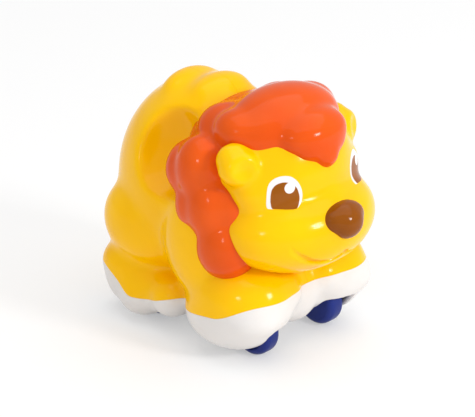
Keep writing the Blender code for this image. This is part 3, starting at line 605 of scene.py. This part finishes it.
chassisShape = {
    "voxel": 0.6, "edgeBlend": 0.18,
    "bellyFlat": ((-12, -18), (12, 46)), "bellyLevel": 4.0,
    "window": ((-9.1, 15.0, 0), (11.1, 35.2, 20.0)),  # for the motor
    "screws": ((28, -9), (25, 41)), "screwSeat": 10.0, "screwHead": 2.5, "headGap": 0.25, "boreFrom": -1,
    "bossRadius": 3.6, "bossBelow": 1.5, "bossShort": 1,  # starts under the seat, ends short of the parting
    "cradles": {"rear": (11.3, 12.6)}, "cradleDepth": 4.5, "cradleSpan": (5.5, 13.2),
    "axleHole": 1.4, "axleReach": 17, "slotSides": 64,
    "notch": ((9.6, -48, -6), (22.9, -22, 14.3)), "notchCorner": 2.5,  # the paw is cut away before each wheel
}


def screwSeats(chassis):  # a boss for each base screw, bored from below for its head
    seat = chassisShape["screwSeat"]
    for x, y in chassisShape["screws"]:
        for sign in (-1, 1):
            top = partingHeight(y) - chassisShape["bossShort"]
            boss = rodForm("boss", (sign * x, y, seat - chassisShape["bossBelow"]), (sign * x, y, top),
                           chassisShape["bossRadius"])
            carve(chassis, "UNION", boss)
            head = rodForm("head", (sign * x, y, chassisShape["boreFrom"]), (sign * x, y, seat),
                           chassisShape["screwHead"] + chassisShape["headGap"])
            carve(chassis, "DIFFERENCE", head)
            discard(boss, head)


def axleSeats(chassis):  # cradles, wheel slots and the axles' bores
    depth = chassisShape["cradleDepth"]
    low, high = chassisShape["cradleSpan"]
    across = wheel["width"] / 2 + wheel["clearance"]
    slotRadius = wheel["radius"] + wheel["clearance"]
    reach = chassisShape["axleReach"]
    for end, (y, z) in wheel["axles"].items():
        for sign in (-1, 1):
            if end in chassisShape["cradles"]:
                left, right = sorted(sign * side for side in chassisShape["cradles"][end])
                cradle = boxForm("cradle", (left, y - depth, low), (right, y + depth, high))
                carve(chassis, "UNION", cradle)
                discard(cradle)
            x = sign * wheel["halfTrack"]
            slot = rodForm("slot", (x - across, y, z), (x + across, y, z), slotRadius,
                           chassisShape["slotSides"])
            carve(chassis, "DIFFERENCE", slot)
            discard(slot)
        axleHole = rodForm("axleHole", (-reach, y, z), (reach, y, z), chassisShape["axleHole"])
        carve(chassis, "DIFFERENCE", axleHole)
        discard(axleHole)


def buildChassis():
    half = bodyShape["seam"] / 2
    far = parting["reach"]
    below = partingBlock("belowPlane", -far, far, -half, -far)
    chassis = copyOf(bodyForm, "chassis")
    carve(chassis, "DIFFERENCE", bodyCore)
    screwSeats(chassis)
    axleSeats(chassis)
    low, high = chassisShape["notch"]
    for sign in (-1, 1):
        left, right = sorted((sign * low[0], sign * high[0]))
        notch = boxForm("notch", (left, *low[1:]), (right, *high[1:]), chassisShape["notchCorner"])
        carve(chassis, "DIFFERENCE", notch)
        discard(notch)
    low, high = chassisShape["bellyFlat"]
    flat = boxForm("flat", (*low, -far), (*high, chassisShape["bellyLevel"]))
    carve(chassis, "DIFFERENCE", flat)
    window = boxForm("window", *chassisShape["window"])
    carve(chassis, "DIFFERENCE", window)
    discard(flat, window)
    soften(chassis, chassisShape["voxel"], chassisShape["edgeBlend"])
    carve(chassis, "INTERSECT", below)  # last, so that the parting edge stays crisp
    discard(below)
    roundShade(chassis, bodyShape["sharp"])
    dress(chassis, finishes["white"], "body", "white_plastic", "chassis")
    print("chassis:", len(chassis.data.polygons), "faces")


buildChassis()
discard(bodyForm, bodyCore)

slotFinish = {
    "white_plastic": "white", "grey_plastic": "grey", "brass_metal": "brass", "steel_metal": "steel",
    "black_rubber": "rubber", "blue_plastic": "blue", "yellow_plastic": "yellow", "orange_plastic": "orange",
    "brown_plastic": "brown",
}
for row in frame["record"]["subparts"]:  # the nodes that stay as they are
    node = frame["nodes"][row["node"]]
    node.data.materials.clear()
    node.data.materials.append(finishes[slotFinish[row["material_slot"]]])
print("inner nodes finished")

floorLook = {
    "size": 6.0, "colour": (0.93, 0.93, 0.93), "rough": 0.6,  # size in metres
    "ownWhite": 0.4,  # share of plain white, which thins the shadow
}
lamps = {  # places and sizes in metres, powers in watts
    "keyBox": {"place": (0.113, -0.8, 0.445), "size": (0.16, 0.16), "power": 3.4},
    "sideBox": {"place": (-0.776, -0.252, 0.43), "size": (0.1, 0.1), "power": 0.6},
    "topBox": {"place": (0.2, -0.1, 1.5), "size": (1.8, 1.8), "power": 11},
}
world = {"strength": 0.64, "colour": (1, 1, 1)}
aim = Vector((0, 0, 0.05))  # metres


def buildStage():
    form = bmesh.new()
    bmesh.ops.create_grid(form, x_segments=1, y_segments=1, size=floorLook["size"] / 2)
    floor = newPiece("floor", meshFrom("floor", form))
    paper = bpy.data.materials.new("floorPaper")
    paper.use_nodes = True
    shader = paper.node_tree.nodes["Principled BSDF"]
    shader.inputs["Base Color"].default_value = (*floorLook["colour"], 1)
    shader.inputs["Roughness"].default_value = floorLook["rough"]
    nodes, link = paper.node_tree.nodes, paper.node_tree.links.new
    path = nodes.new("ShaderNodeLightPath")
    seen = path.outputs["Is Camera Ray"]
    for ray in ("Is Glossy Ray", "Is Transmission Ray"):
        total = nodes.new("ShaderNodeMath")
        total.operation, total.use_clamp = "ADD", True
        link(seen, total.inputs[0])
        link(path.outputs[ray], total.inputs[1])
        seen = total.outputs[0]
    share = nodes.new("ShaderNodeMath")
    share.operation = "MULTIPLY"
    share.inputs[1].default_value = floorLook["ownWhite"]
    link(seen, share.inputs[0])
    white = nodes.new("ShaderNodeEmission")
    mix = nodes.new("ShaderNodeMixShader")
    link(share.outputs[0], mix.inputs[0])
    link(shader.outputs[0], mix.inputs[1])
    link(white.outputs[0], mix.inputs[2])
    link(mix.outputs[0], nodes["Material Output"].inputs["Surface"])
    floor.data.materials.append(paper)
    for name, look in lamps.items():
        light = bpy.data.lights.new(name, "AREA")
        light.shape = "RECTANGLE"
        light.size, light.size_y = look["size"]
        light.energy = look["power"]
        lamp = newPiece(name, light)
        lamp.location = look["place"]
        lamp.rotation_euler = (aim - lamp.location).to_track_quat("-Z", "Y").to_euler()
    sky = bpy.data.worlds.new("studio")
    sky.use_nodes = True
    back = sky.node_tree.nodes["Background"]
    back.inputs["Color"].default_value = (*world["colour"], 1)
    back.inputs["Strength"].default_value = world["strength"]
    bpy.context.scene.world = sky
    bpy.context.scene.view_settings.view_transform = "Standard"
    print("stage and", len(lamps), "lamps set")


buildStage()

lens = {
    "azimuth": 47.0, "elevation": 23.5,  # degrees to the lion's right and above it
    "pixelsPerMm": 2.645, "distance": 1.0, "sensor": 36.0,
    "originPixel": (245.1, 318.4),  # where the frame's origin is in the photograph
}


def buildCamera():
    a, e = math.radians(lens["azimuth"]), math.radians(lens["elevation"])
    right = Vector((math.cos(a), -math.sin(a), 0))
    forward = Vector((math.sin(a) * math.cos(e), math.cos(a) * math.cos(e), -math.sin(e)))
    up = right.cross(forward)
    pixels = lens["pixelsPerMm"]
    x, y = lens["originPixel"]
    target = (right * (photo["width"] / 2 - x) + up * (y - photo["height"] / 2)) / pixels * mm
    data = bpy.data.cameras.new("camera")
    data.sensor_width = lens["sensor"]
    data.lens = pixels / mm * lens["distance"] * lens["sensor"] / photo["width"]
    camera = newPiece("camera", data)
    camera.location = target - forward * lens["distance"]
    camera.rotation_euler = forward.to_track_quat("-Z", "Y").to_euler()
    bpy.context.scene.camera = camera
    print("camera set")


buildCamera()
